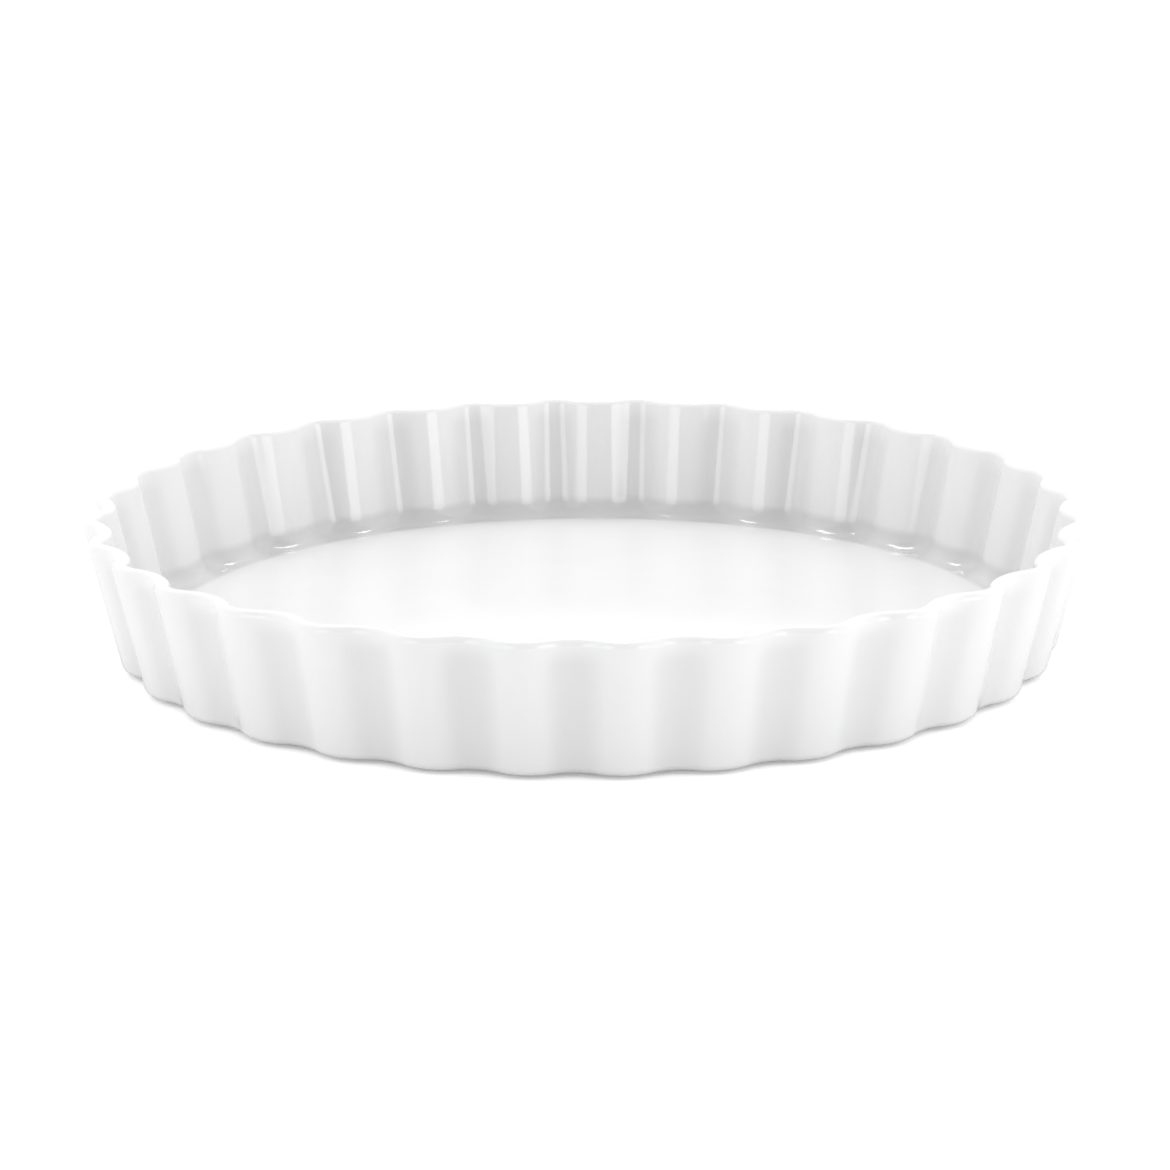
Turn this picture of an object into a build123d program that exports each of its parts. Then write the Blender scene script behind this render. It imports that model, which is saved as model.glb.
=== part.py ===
from build123d import *
from math import atan2, cos, hypot, pi, radians, sin, sqrt, tan
import os

# Fluted quiche dish: a pressed porcelain body under a fused coat of clear glaze.
# Millimetres, +Z up. The origin is the centre of the foot, level with the table,
# and a flute's crest points along +X.

# The dish as it is glazed
rim_diameter = 300.0            # across two opposite crests, at the widest
dish_height = 41.5              # from the table to the top of the rim
flare_angle = 13.5              # of the wall, in degrees from the vertical
wall_thickness = 4.5            # square to the wall
floor_thickness = 3.6
cove_radius = 6.5               # inside, where the wall meets the floor
heel_radius = 3.0               # outside, where the wall turns under
rim_flat = 0.5                  # level strip left between the rim's two rounded edges

# The flutes, which run the whole height of the wall
flute_count = 32
rim_flute_depth = 4.2           # from crest to valley, level with the rim
foot_flute_depth = 3.1          # from crest to valley, level with the floor's underside
crest_share = 0.48              # of the two arcs' radii together, the crest's part

# The foot ring that the dish stands on
foot_height = 1.0               # below the underside of the floor
foot_setback = 5.0              # from where the heel's rounding ends under a valley
foot_width = 5.0
foot_rounding = 0.3

# The glaze
glaze_thickness = 0.35
bare_height = 0.4               # of the foot that is wiped clean before firing

# What follows from those sizes
flute_pitch = 2 * pi / flute_count
flare = tan(radians(flare_angle))           # reach gained for each millimetre of height
slant = sqrt(1 + flare * flare)             # level thickness for each millimetre of wall
floor_level = foot_height + floor_thickness
rim_rounding = (wall_thickness - rim_flat / slant) / 2
sharp_rim_reach = rim_diameter / 2 + rim_rounding * (flare + slant - 1)   # before the rim is rounded


def polar(reach, angle):
    """The point at this distance from the axis, in this direction."""
    return (reach * cos(angle), reach * sin(angle))


def crest_reach(level):
    """How far from the axis the glazed crests stand at this height."""
    return sharp_rim_reach - (dish_height - level) * flare


# The foot ring's glazed sides, set in from the flat under a valley
underside_reach = crest_reach(foot_height) - foot_flute_depth - heel_radius * (slant - flare)
foot_radius = underside_reach - foot_setback
well_radius = foot_radius - foot_width


def flute_depth(level):
    """How deep the flutes are at this height."""
    rise_share = (level - foot_height) / (dish_height - foot_height)
    return foot_flute_depth + (rim_flute_depth - foot_flute_depth) * rise_share


def flute_arcs(crest, depth):
    """For the crest's arc and then the valley's, which touch on the flank: centre distance and radius."""
    valley = crest - depth
    valley_share = 1 - crest_share
    turn = cos(flute_pitch / 2)
    # The centres are as far apart as the two radii together, which makes a quadratic in that sum
    square = 2 * crest_share * valley_share * (turn - 1)
    linear = 2 * (valley * valley_share - crest * crest_share)
    linear -= 2 * turn * (crest * valley_share - valley * crest_share)
    constant = crest * crest + valley * valley - 2 * crest * valley * turn
    radii = (-linear - sqrt(linear * linear - 4 * square * constant)) / (2 * square)
    crest_radius = crest_share * radii
    valley_radius = valley_share * radii
    return crest - crest_radius, crest_radius, valley + valley_radius, valley_radius


def fluted_section(level, inset):
    """A level slice through the flutes, this far inside the glazed outside, measured square to the wall."""
    across = inset * slant
    crest = crest_reach(level)
    depth = flute_depth(level)
    crest_centre, crest_radius, valley_centre, valley_radius = flute_arcs(crest, depth)
    # The arcs meet on the line between their centres
    along_share = (crest_radius - across) / (crest_radius + valley_radius)
    flank_x = crest_centre + along_share * (valley_centre * cos(flute_pitch / 2) - crest_centre)
    flank_y = along_share * valley_centre * sin(flute_pitch / 2)
    flank_reach = hypot(flank_x, flank_y)
    flank_angle = atan2(flank_y, flank_x)
    with BuildSketch(Plane.XY.offset(level)) as section:
        with BuildLine():
            for flute in range(flute_count):
                middle = flute * flute_pitch
                before = polar(flank_reach, middle - flank_angle)
                after = polar(flank_reach, middle + flank_angle)
                following = polar(flank_reach, middle + flute_pitch - flank_angle)
                ThreePointArc(before, polar(crest - across, middle), after)
                ThreePointArc(after, polar(crest - depth - across, middle + flute_pitch / 2), following)
        make_face()
    return section.sketch


def fluted_block(low, high, inset, edge_radius):
    """A solid with fluted sides between two heights, rounded round its lower edge."""
    with BuildPart() as block:
        loft([fluted_section(low, inset), fluted_section(high, inset)], ruled=True)
        fillet(block.edges().group_by(Axis.Z)[0], edge_radius)
    return block.part


def dish_form(inset):
    """The dish without its foot, with every surface this far inside the glazed one."""
    top = dish_height - inset
    outside = fluted_block(foot_height + inset, top, inset, heel_radius - inset)
    inside = fluted_block(floor_level - inset, top, wall_thickness - inset, cove_radius + inset)
    with BuildPart() as form:
        add(outside)
        add(inside, mode=Mode.SUBTRACT)
        fillet(form.edges().group_by(Axis.Z)[-1], rim_rounding - inset)
    return form.part


def foot_section(level, inset):
    """The foot ring's slice at this height, with both sides this far inside the glazed ones."""
    with BuildSketch(Plane.XY.offset(level)) as section:
        Circle(foot_radius - inset)
        Circle(well_radius + inset, mode=Mode.SUBTRACT)
    return section.sketch


# The pressed and fired porcelain, whose bare foot is all of it that shows
with BuildPart() as porcelain_body:
    add(dish_form(glaze_thickness))
    extrude(foot_section(0, glaze_thickness), amount=foot_height + glaze_thickness)
    fillet(porcelain_body.edges().group_by(Axis.Z)[0], foot_rounding)

# The glaze on the underside, inside the foot ring, cut off from the rest by the bare foot
with BuildPart() as underside_glaze:
    with BuildSketch(Plane.XY.offset(foot_height)):
        Circle(well_radius + glaze_thickness)
    extrude(amount=glaze_thickness)
    with BuildSketch(Plane.XY.offset(bare_height)):
        Circle(well_radius + glaze_thickness)
        Circle(well_radius, mode=Mode.SUBTRACT)
    extrude(amount=foot_height - bare_height)

# The glaze everywhere else, fused to the floor, over the rim and down to the bare foot
with BuildPart() as glaze_coat:
    add(dish_form(0))
    extrude(foot_section(bare_height, 0), amount=foot_height - bare_height)
    add(porcelain_body.part, mode=Mode.SUBTRACT)
    add(underside_glaze.part, mode=Mode.SUBTRACT)

porcelain_body.part.label = "porcelain_body"
underside_glaze.part.label = "underside_glaze"
glaze_coat.part.label = "glaze_coat"

os.makedirs("parts", exist_ok=True)
export_step(porcelain_body.part, "parts/porcelain_body.step")
export_step(underside_glaze.part, "parts/underside_glaze.step")
export_step(glaze_coat.part, "parts/glaze_coat.step")
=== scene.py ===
from math import atan2, cos, pi, radians, sin, sqrt, tan

import bmesh
import bpy
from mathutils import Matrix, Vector


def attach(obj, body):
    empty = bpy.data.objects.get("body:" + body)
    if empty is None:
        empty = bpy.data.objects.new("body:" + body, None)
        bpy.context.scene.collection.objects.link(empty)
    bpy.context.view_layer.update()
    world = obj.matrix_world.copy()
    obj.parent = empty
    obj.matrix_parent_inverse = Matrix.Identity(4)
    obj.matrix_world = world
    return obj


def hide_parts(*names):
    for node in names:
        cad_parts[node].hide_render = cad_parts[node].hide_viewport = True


# White fluted quiche dish: the glaze and the bare porcelain as they look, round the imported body.
# Metres, +Z up, with the centre of the foot at the origin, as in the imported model.

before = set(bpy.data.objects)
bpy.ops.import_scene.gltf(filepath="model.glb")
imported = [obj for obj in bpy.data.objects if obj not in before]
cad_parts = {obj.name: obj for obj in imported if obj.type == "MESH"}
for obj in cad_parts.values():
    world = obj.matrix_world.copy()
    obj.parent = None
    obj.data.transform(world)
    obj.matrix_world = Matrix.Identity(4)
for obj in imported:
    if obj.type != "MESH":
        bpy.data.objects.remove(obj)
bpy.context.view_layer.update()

MM = 0.001

# The dish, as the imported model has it
rim_diameter = 300.0 * MM            # across two opposite crests, at the widest
dish_height = 41.5 * MM
flare_angle = 13.5                   # of the wall, in degrees from the vertical
wall_thickness = 4.5 * MM            # square to the wall
floor_thickness = 3.6 * MM
cove_radius = 6.5 * MM               # inside, where the wall meets the floor
heel_radius = 3.0 * MM               # outside, where the wall turns under
rim_flat = 0.5 * MM                  # level strip left between the rim's two rounded edges
flute_count = 32
rim_flute_depth = 4.2 * MM
foot_flute_depth = 3.1 * MM
crest_share = 0.48                   # of a flute's two radii together, the crest's part
foot_height = 1.0 * MM
foot_setback = 5.0 * MM              # from where the heel's rounding ends under a valley
glaze_thickness = 0.35 * MM
bare_height = 0.4 * MM               # of the foot, below where its glaze ends

# How finely the glaze is drawn
columns_per_flute = 24
edge_segments = 8
wall_cuts = 5
floor_ring_radii = (120.0 * MM, 90.0 * MM, 60.0 * MM, 30.0 * MM, 8.0 * MM)
smooth_angle = 40                    # degrees, past which two faces meet in a sharp edge

# What follows from those sizes
half_columns = columns_per_flute // 2
columns = flute_count * columns_per_flute
half_pitch = pi / flute_count
flare = tan(radians(flare_angle))                     # reach gained for each metre of height
slant = sqrt(1 + flare * flare)                       # level thickness for each metre of wall
floor_level = foot_height + floor_thickness
rim_rounding = (wall_thickness - rim_flat / slant) / 2
sharp_rim_reach = rim_diameter / 2 + rim_rounding * (flare + slant - 1)   # before it is rounded
open_corner = tan(radians(45 + flare_angle / 2))      # half of a corner wider than square
tight_corner = tan(radians(45 - flare_angle / 2))     # half of a corner narrower than square


# The shape of the glaze


def crest_reach(level):
    """How far from the axis the crests stand at this height."""
    return sharp_rim_reach - (dish_height - level) * flare


def flute_depth(level):
    """How deep the flutes are at this height."""
    rise_share = (level - foot_height) / (dish_height - foot_height)
    return foot_flute_depth + (rim_flute_depth - foot_flute_depth) * rise_share


def flute_outline(level, inset):
    """The reach of each column of half a flute, crest to valley, this far inside the glazed outside."""
    across = inset * slant
    crest = crest_reach(level)
    valley = crest - flute_depth(level)
    valley_share = 1 - crest_share
    turn = cos(half_pitch)
    # The centres are as far apart as the two radii together, which makes a quadratic in that sum
    square = 2 * crest_share * valley_share * (turn - 1)
    linear = 2 * (valley * valley_share - crest * crest_share)
    linear -= 2 * turn * (crest * valley_share - valley * crest_share)
    constant = crest * crest + valley * valley - 2 * crest * valley * turn
    radii = (-linear - sqrt(linear * linear - 4 * square * constant)) / (2 * square)
    crest_centre = crest - crest_share * radii
    valley_centre = valley + valley_share * radii
    crest_radius = crest_share * radii - across
    valley_radius = valley_share * radii + across
    # The arcs meet on the line between their centres
    along_share = crest_radius / radii
    flank_x = crest_centre + along_share * (valley_centre * turn - crest_centre)
    flank_y = along_share * valley_centre * sin(half_pitch)
    flank_angle = atan2(flank_y, flank_x)
    reaches = []
    for column in range(half_columns + 1):
        angle = half_pitch * column / half_columns
        if angle < flank_angle:
            off = crest_centre * sin(angle)
            reach = crest_centre * cos(angle) + sqrt(crest_radius * crest_radius - off * off)
        else:
            off = valley_centre * sin(half_pitch - angle)
            reach = valley_centre * cos(half_pitch - angle) - sqrt(valley_radius * valley_radius - off * off)
        reaches.append(reach)
    return reaches


def plain_outline(radius):
    """The same for a plain circle."""
    return [radius] * (half_columns + 1)


def skin_rings():
    """The rings of the glaze's outer face, from the foot up the wall, over the rim and across the floor.

    Each has its height, its outline, and how far its rounding goes from the sharp corner.
    """
    heel_reach = crest_reach(foot_height) - foot_flute_depth - heel_radius * (slant - flare)
    foot_radius = heel_reach - foot_setback
    rings = [
        (bare_height, plain_outline(foot_radius), 0),
        (foot_height, plain_outline(foot_radius), glaze_thickness),
        (foot_height, flute_outline(foot_height, 0), heel_radius / open_corner),
        (dish_height, flute_outline(dish_height, 0), rim_rounding / tight_corner),
        (dish_height, flute_outline(dish_height, wall_thickness), rim_rounding / open_corner),
        (floor_level, flute_outline(floor_level, wall_thickness), cove_radius / open_corner),
    ]
    for radius in floor_ring_radii:
        rings.append((floor_level, plain_outline(radius), 0))
    return rings


def column_of(point):
    """How many columns a point stands from the nearest crest."""
    column = round(atan2(point.y, point.x) * columns / (2 * pi)) % columns_per_flute
    return min(column, columns_per_flute - column)


def shape_ring(piece, start, target):
    """Draws the selected ring's columns in or out, from one outline to another."""
    ring = [v.index for v in bmesh.from_edit_mesh(piece.data).verts if v.select]
    for column in range(half_columns + 1):
        mesh = bmesh.from_edit_mesh(piece.data)
        mesh.verts.ensure_lookup_table()
        chosen = set(i for i in ring if column_of(mesh.verts[i].co) == column)
        for v in mesh.verts:
            v.select_set(v.index in chosen)
        mesh.select_flush_mode()
        scale = target[column] / start[column]
        bpy.ops.transform.resize(value=(scale, scale, 1), center_override=(0, 0, 0))
    mesh = bmesh.from_edit_mesh(piece.data)
    mesh.verts.ensure_lookup_table()
    for i in ring:
        mesh.verts[i].select_set(True)
    mesh.select_flush(True)


def extrude_rings(piece, rings):
    """Draws each ring from the one before, starting with the selected circle, and closes the last."""
    level, outline, setback = rings[0]
    bpy.ops.transform.translate(value=(0, 0, level))
    for next_level, next_outline, next_setback in rings[1:]:
        bpy.ops.mesh.extrude_region()
        bpy.ops.transform.translate(value=(0, 0, next_level - level))
        shape_ring(piece, outline, next_outline)
        level, outline = next_level, next_outline
    bpy.ops.mesh.extrude_region()
    bpy.ops.mesh.merge(type="CENTER")


def select_edges(piece, wanted):
    """Selects the edges that pass a test, and no others."""
    bpy.ops.mesh.select_all(action="DESELECT")
    mesh = bmesh.from_edit_mesh(piece.data)
    for edge in mesh.edges:
        edge.select_set(wanted(edge))
    bmesh.update_edit_mesh(piece.data)


def weigh_corners(piece, rings):
    """Gives each ring that is a corner its share of the widest rounding, which it returns."""
    widest = max(setback for level, outline, setback in rings)
    bpy.ops.mesh.select_mode(type="EDGE")
    for number, (level, outline, setback) in enumerate(rings):
        if setback:
            select_edges(piece, lambda edge: all(v.index // columns == number for v in edge.verts))
            bpy.ops.transform.edge_bevelweight(value=setback / widest)
    return widest


def cut_wall(piece):
    """Gives the wall rings of its own, inside and out."""
    select_edges(piece, lambda edge: abs(edge.verts[0].co.z - edge.verts[1].co.z) > dish_height / 2)
    bpy.ops.mesh.subdivide(number_cuts=wall_cuts)


def draw_skin():
    """The outer face of the glaze, and how far its widest rounding goes from the sharp corner."""
    rings = skin_rings()
    level, foot_outline, setback = rings[0]
    bpy.ops.object.select_all(action="DESELECT")
    bpy.ops.mesh.primitive_circle_add(vertices=columns, radius=foot_outline[0])
    piece = bpy.context.object
    bpy.ops.object.mode_set(mode="EDIT")
    bpy.ops.mesh.select_mode(type="VERT")
    bpy.ops.mesh.select_all(action="SELECT")
    extrude_rings(piece, rings)
    widest = weigh_corners(piece, rings)
    cut_wall(piece)
    bpy.ops.mesh.select_all(action="SELECT")
    bpy.ops.mesh.normals_make_consistent(inside=False)
    bpy.ops.object.mode_set(mode="OBJECT")
    # The skin is open at the foot, so the rim's top tells whether it came out inside out
    top = max(piece.data.polygons, key=lambda face: face.center.z)
    if top.normal.z < 0:
        piece.data.flip_normals()
    return piece, widest


def only(piece):
    """Selects this piece alone and makes it the active one."""
    bpy.ops.object.select_all(action="DESELECT")
    piece.select_set(True)
    bpy.context.view_layer.objects.active = piece


def apply_modifier(piece, kind, **settings):
    """Adds a modifier with these settings and applies it."""
    only(piece)
    modifier = piece.modifiers.new(kind.lower(), kind)
    for name, value in settings.items():
        setattr(modifier, name, value)
    bpy.ops.object.modifier_apply(modifier=modifier.name)


def make_glaze_coat():
    """The glaze over the whole dish but its underside, as a closed skin of one thickness."""
    piece, widest = draw_skin()
    piece.name = "white_glaze"
    apply_modifier(
        piece, "BEVEL", width=widest, segments=edge_segments, limit_method="WEIGHT", use_clamp_overlap=False
    )
    apply_modifier(piece, "SOLIDIFY", thickness=glaze_thickness, offset=-1, use_even_offset=True)
    only(piece)
    bpy.ops.object.shade_smooth_by_angle(angle=radians(smooth_angle))
    apply_modifier(piece, "WEIGHTED_NORMAL", keep_sharp=True)
    return piece


glaze_coat = make_glaze_coat()
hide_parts("glaze_coat")
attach(glaze_coat, "root")


# The finishes

# The glaze's tone drifts slowly between these two
dark_glaze = (0.770, 0.771, 0.773, 1)
light_glaze = (0.790, 0.790, 0.788, 1)
ripple_height = 0.06 * MM               # of the fired surface's slow waves
peel_height = 0.003 * MM                # of its fine skin

# Painted shade, darkening the glaze in the cove, and less in the flutes' hollows on both sides of the wall
cove_shade_start = 127.5 * MM                 # from the axis
cove_shade_end = 136.7 * MM                   # drawn down the wall's slope to the table
cove_shade_bottom = floor_level - 0.1 * MM
cove_shade_top = floor_level + cove_radius
cove_shade_fade = 3.0 * MM
painted_shade_tone = (0.80, 0.80, 0.80, 1)       # the colour that the painted shade multiplies in
outside_start = 136.15 * MM             # drawn down the wall's slope to the table
hollow_shade_share = 0.42                     # of the cove's painted shade
hollow_start = -0.5                     # a flute's wave runs from -1 on a ridge to 1 in a hollow
rim_fade_start = 34.0 * MM              # the painted shade in the hollows fades out towards the rim
rim_fade_end = 40.0 * MM

# The bare porcelain, where grain and stains together make these two
dark_bisque = (0.68, 0.66, 0.61, 1)
light_bisque = (0.80, 0.79, 0.75, 1)
grain_height = 0.04 * MM

fired_ior = 1.5                         # of glaze and porcelain alike
white = (1, 1, 1, 1)

# A Mix node's colour sockets by their places, because its other kinds have the same names
mix_first, mix_second, mix_result = 6, 7, 2


class Nodes:
    """The shader nodes of a material or a world, added one by one."""

    def __init__(self, owner, output):
        owner.use_nodes = True
        self.tree = owner.node_tree
        self.tree.nodes.clear()
        self.output = self.add(output)

    def feed(self, socket, value):
        """Sets a socket to a value, or links it to the output of another node."""
        if isinstance(value, bpy.types.NodeSocket):
            self.tree.links.new(value, socket)
        else:
            socket.default_value = value

    def add(self, kind, settings=None, **inputs):
        """A node of this kind, with its inputs given by their names."""
        node = self.tree.nodes.new("ShaderNode" + kind)
        for name, value in (settings or {}).items():
            setattr(node, name, value)
        for name, value in inputs.items():
            self.feed(node.inputs[name.replace("_", " ")], value)
        return node

    def in_order(self, kind, *values, **settings):
        """The first output of a node of this kind, with its inputs given in their order."""
        node = self.add(kind, settings)
        for socket, value in zip(node.inputs, values):
            self.feed(socket, value)
        return node.outputs[0]

    def math(self, operation, *values, clamp=True):
        """The result of a sum, kept between 0 and 1 unless it isn't clamped."""
        return self.in_order("Math", *values, operation=operation, use_clamp=clamp)

    def ramp(self, value, low, high):
        """A soft step from 0 to 1 between two values."""
        settings = {"interpolation_type": "SMOOTHSTEP"}
        step = self.add("MapRange", settings, Value=value, From_Min=low, From_Max=high)
        return step.outputs["Result"]

    def span(self, value, low, high):
        """Goes evenly from one value to another as this value goes from 0 to 1."""
        return self.add("MapRange", Value=value, To_Min=low, To_Max=high).outputs["Result"]

    def noise(self, place, scale, detail, roughness=0.5):
        """Noise with about this many spots to a metre."""
        noise = self.add("TexNoise", Vector=place, Scale=scale, Detail=detail, Roughness=roughness)
        return noise.outputs["Fac"]

    def two_tones(self, value, low, low_tone, high, high_tone):
        """Goes from one tone to another as this value goes from low to high."""
        ramp = self.add("ValToRGB", Fac=value)
        stops = ramp.color_ramp.elements
        for stop, position, tone in zip(stops, (low, high), (low_tone, high_tone)):
            stop.position = position
            stop.color = tone
        return ramp.outputs["Color"]

    def bump(self, height, distance, **normal):
        """The direction of a surface with this relief, which may lie over another's."""
        return self.add("Bump", Height=height, Strength=1.0, Distance=distance, **normal).outputs[0]

    def surface(self, shader):
        """Puts this shader on whatever the nodes belong to."""
        self.feed(self.output.inputs["Surface"], shader)


def painted_shade_amount(nodes, place):
    """How much painted shade a place gets, from 0 to 1."""
    axes = nodes.add("SeparateXYZ", Vector=place).outputs
    level_place = nodes.add("CombineXYZ", X=axes["X"], Y=axes["Y"]).outputs[0]
    reach = nodes.add("VectorMath", {"operation": "LENGTH"}, Vector=level_place).outputs["Value"]
    # Drawn down the wall's slope to the table, a reach tells the inside from the outside
    flared = nodes.math("MULTIPLY", axes["Z"], flare)
    foot_reach = nodes.math("SUBTRACT", reach, flared)

    # Painted shade in the cove, on the inside only
    past_floor = nodes.ramp(reach, cove_shade_start, cove_shade_start + cove_shade_fade)
    above_cove = nodes.ramp(axes["Z"], cove_shade_top - cove_shade_fade, cove_shade_top)
    in_cove = nodes.math("SUBTRACT", past_floor, above_cove)
    inside = nodes.math("LESS_THAN", foot_reach, cove_shade_end)
    above_floor = nodes.math("GREATER_THAN", axes["Z"], cove_shade_bottom)
    cove_shade = nodes.math("MULTIPLY", in_cove, nodes.math("MULTIPLY", inside, above_floor))

    # Painted shade in the flutes' hollows, inside and out, fading near the rim
    turn = nodes.math("ARCTAN2", axes["Y"], axes["X"], clamp=False)
    phase = nodes.math("MULTIPLY_ADD", turn, flute_count, pi, clamp=False)
    wave = nodes.math("COSINE", phase, clamp=False)
    outside = nodes.math("GREATER_THAN", foot_reach, outside_start)
    # The outside's ridges are the inside's hollows, so the wave turns over: 1 outside and -1 inside
    side = nodes.math("MULTIPLY_ADD", outside, 2.0, -1.0, clamp=False)
    hollow = nodes.ramp(nodes.math("MULTIPLY", wave, side, clamp=False), hollow_start, 1.0)
    near_rim = nodes.ramp(axes["Z"], rim_fade_start, rim_fade_end)
    on_wall = nodes.math("SUBTRACT", nodes.math("ADD", outside, above_cove), near_rim)
    in_hollow = nodes.math("MULTIPLY", hollow, on_wall)
    return nodes.math("ADD", cove_shade, nodes.math("MULTIPLY", in_hollow, hollow_shade_share))


def glaze_finish():
    """Clear glossy glaze on white porcelain, waved as it ran, with painted shade darkening it in the cove
    and the flutes' hollows.
    """
    material = bpy.data.materials.new("glossy_white_glaze")
    nodes = Nodes(material, "OutputMaterial")
    place = nodes.add("TexCoord").outputs["Object"]
    drift = nodes.noise(place, scale=14.0, detail=3.0)
    tone = nodes.two_tones(drift, 0.35, dark_glaze, 0.65, light_glaze)
    shade_amount = painted_shade_amount(nodes, place)
    # Painted shade: the glaze's tone is multiplied darker by the shade amount
    coat = nodes.add("Mix", {"data_type": "RGBA", "blend_type": "MULTIPLY"}, Factor=shade_amount)
    nodes.feed(coat.inputs[mix_first], tone)
    nodes.feed(coat.inputs[mix_second], painted_shade_tone)
    cloud = nodes.noise(place, scale=55.0, detail=4.0, roughness=0.6)
    ripple = nodes.noise(place, scale=70.0, detail=1.0, roughness=0.4)
    peel = nodes.noise(place, scale=650.0, detail=1.0, roughness=0.4)
    waves = nodes.bump(ripple, ripple_height)
    shader = nodes.add(
        "BsdfPrincipled",
        Base_Color=coat.outputs[mix_result],
        Roughness=nodes.span(cloud, low=0.07, high=0.13),
        Normal=nodes.bump(peel, peel_height, Normal=waves),
        IOR=fired_ior,
    )
    nodes.surface(shader.outputs[0])
    return material


def bisque_finish():
    """Bare fired porcelain, matt, ground flat where the dish stands."""
    material = bpy.data.materials.new("matt_bare_porcelain")
    nodes = Nodes(material, "OutputMaterial")
    place = nodes.add("TexCoord").outputs["Object"]
    grain = nodes.noise(place, scale=2400.0, detail=4.0, roughness=0.65)
    stain = nodes.noise(place, scale=45.0, detail=3.0)
    mottle = nodes.math("MULTIPLY", grain, stain, clamp=False)
    shader = nodes.add(
        "BsdfPrincipled",
        Base_Color=nodes.two_tones(mottle, 0.12, dark_bisque, 0.36, light_bisque),
        Roughness=nodes.span(grain, low=0.62, high=0.85),
        Normal=nodes.bump(grain, grain_height),
        IOR=fired_ior,
    )
    nodes.surface(shader.outputs[0])
    return material


def wear(piece, material):
    """Gives a piece this material in every slot that it has."""
    if not piece.material_slots:
        piece.data.materials.append(material)
    for place in piece.material_slots:
        place.material = material


glaze = glaze_finish()
wear(glaze_coat, glaze)
wear(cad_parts["underside_glaze"], glaze)
wear(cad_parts["porcelain_body"], bisque_finish())


# The studio

scene = bpy.context.scene
scene.view_settings.view_transform = "Standard"

table_size = 12
table_tone = (0.95, 0.95, 0.95, 1)
reflected_table_tone = (0.72, 0.72, 0.72, 1)
table_glow = 0.30                       # what the table adds of its own to the camera's view of it
sky_strength = 1.02                     # of the light that the surround casts
seen_sky_strength = 1.0                 # of the surround as it is seen
card_tone = (0.03, 0.03, 0.03, 1)
middle = Vector((0, 0, 20 * MM))        # what the lamps and cards face

# The camera, fitted to the photograph
camera_azimuth = -4.18                  # degrees from the front, to the right
camera_elevation = 15.24                # degrees
camera_roll = -0.29                     # degrees
camera_distance = 1.263
camera_lens = 129.0                     # millimetres, as is the sensor
camera_sensor = 36.0
nearest_seen = 0.05
aim_rightwards = -0.4 * MM
aim_height = 16.9 * MM


def towards(azimuth, elevation, distance):
    """A place this far from the dish. Azimuth goes from the front round to the right, in degrees."""
    turn, rise = radians(azimuth), radians(elevation)
    return Vector((sin(turn) * cos(rise), -cos(turn) * cos(rise), sin(rise))) * distance


def seen_directly(nodes):
    """1 where the eye, a reflection or a see-through piece looks, and 0 for the light that is cast."""
    rays = nodes.add("LightPath").outputs
    mirrored = nodes.math("MAXIMUM", rays["Is Camera Ray"], rays["Is Glossy Ray"])
    return nodes.math("MAXIMUM", mirrored, rays["Is Transmission Ray"])


def add_plane(name, size):
    """A plain square at the origin."""
    bpy.ops.object.select_all(action="DESELECT")
    bpy.ops.mesh.primitive_plane_add(size=size)
    plane = bpy.context.object
    plane.name = name
    return plane


def make_table():
    """A wide pale table that keeps the dish's shadow. The glaze reflects it dimmer than the eye sees it."""
    table = add_plane("pale_table", table_size)
    material = bpy.data.materials.new("pale_table_top")
    nodes = Nodes(material, "OutputMaterial")
    matt = nodes.add("BsdfDiffuse", Color=table_tone).outputs[0]
    glow = nodes.add("Emission", Color=white, Strength=table_glow).outputs[0]
    dim = nodes.add("BsdfDiffuse", Color=reflected_table_tone).outputs[0]
    seen = nodes.in_order("MixShader", seen_directly(nodes), matt, nodes.in_order("AddShader", matt, glow))
    reflected = nodes.add("LightPath").outputs["Is Glossy Ray"]
    nodes.surface(nodes.in_order("MixShader", reflected, seen, dim))
    table.data.materials.append(material)


def make_sky():
    """An even white surround, a little stronger than it looks."""
    world = bpy.data.worlds.new("white_surround")
    scene.world = world
    nodes = Nodes(world, "OutputWorld")
    cast = nodes.add("Background", Color=white, Strength=sky_strength).outputs[0]
    seen = nodes.add("Background", Color=white, Strength=seen_sky_strength).outputs[0]
    nodes.surface(nodes.in_order("MixShader", seen_directly(nodes), cast, seen))


def face_dish(thing, place):
    """Puts a lamp or a card here, turned to face the dish."""
    thing.location = place
    thing.rotation_euler = (middle - place).to_track_quat("-Z", "Y").to_euler()


def make_lamp(name, place, width, height, power, reflected=True, lighting=True):
    """A soft lamp. The glaze may not reflect it, or it may show only in reflections and light nothing."""
    data = bpy.data.lights.new(name, "AREA")
    data.shape = "RECTANGLE"
    data.size = width
    data.size_y = height
    data.energy = power
    lamp = bpy.data.objects.new(name, data)
    scene.collection.objects.link(lamp)
    lamp.visible_glossy = reflected
    lamp.visible_diffuse = lighting
    face_dish(lamp, place)


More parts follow.
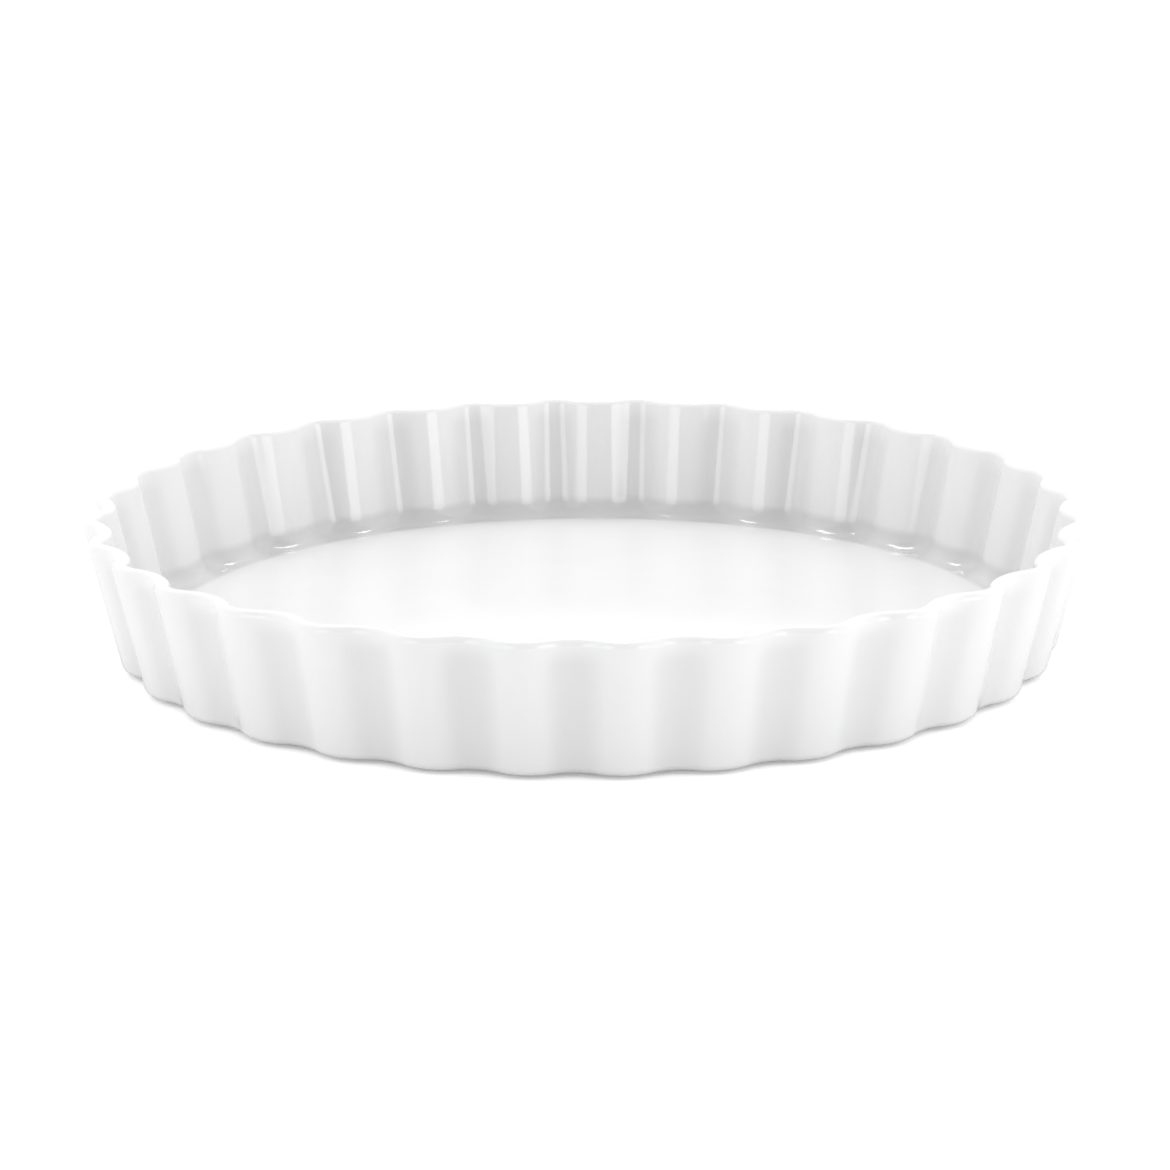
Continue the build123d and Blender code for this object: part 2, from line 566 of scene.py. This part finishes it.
def make_card(name, place, size):
    """A dark card that only the glaze's reflections see."""
    card = add_plane(name, size)
    face_dish(card, place)
    card.visible_camera = False
    card.visible_diffuse = False
    card.visible_transmission = False
    card.visible_shadow = False
    material = bpy.data.materials.new(name + "_cloth")
    nodes = Nodes(material, "OutputMaterial")
    nodes.surface(nodes.add("BsdfDiffuse", Color=card_tone).outputs[0])
    card.data.materials.append(material)


def make_camera():
    """A long lens from the front, a little to the left, looking down on the dish."""
    turn = radians(camera_azimuth)
    target = Vector((cos(turn), sin(turn), 0)) * aim_rightwards + Vector((0, 0, aim_height))
    data = bpy.data.cameras.new("camera")
    data.lens = camera_lens
    data.sensor_width = camera_sensor
    data.clip_start = nearest_seen
    camera = bpy.data.objects.new("camera", data)
    scene.collection.objects.link(camera)
    away = towards(camera_azimuth, camera_elevation, camera_distance)
    camera.location = target + away
    facing = (-away).to_track_quat("-Z", "Y").to_euler()
    facing.rotate_axis("Z", radians(camera_roll))
    camera.rotation_euler = facing
    scene.camera = camera


make_table()
make_sky()
make_card("dark_front_card", towards(azimuth=0, elevation=22, distance=2.6), size=2.6)
make_card("dark_top_card", towards(azimuth=0, elevation=80, distance=2.2), size=2.4)

# Behind, for the floor and the highlights
place = towards(azimuth=180, elevation=60, distance=1.5)
make_lamp("key_lamp", place, width=0.8, height=0.22, power=5.2)
place = towards(azimuth=180, elevation=45, distance=1.5)
make_lamp("back_softbox", place, width=1.6, height=0.9, power=0.9)

# At the sides, for the flutes' flanks
place = towards(azimuth=-90, elevation=18, distance=1.4)
make_lamp("left_side_softbox", place, width=1.0, height=0.7, power=2.9, reflected=False)
place = towards(azimuth=90, elevation=18, distance=1.4)
make_lamp("right_side_softbox", place, width=1.0, height=0.7, power=1.6, reflected=False)
place = towards(azimuth=65, elevation=16.5, distance=1.45)
make_lamp("right_softbox", place, width=0.5, height=0.8, power=2.8, reflected=False)

# In front, for the bright strips on the back wall
place = towards(azimuth=-37.7, elevation=16.5, distance=1.45)
make_lamp("left_strip_box", place, width=0.56, height=0.8, power=2.5, lighting=False)
place = towards(azimuth=37.7, elevation=16.5, distance=1.45)
make_lamp("right_strip_box", place, width=0.56, height=0.8, power=3.3, lighting=False)
make_camera()
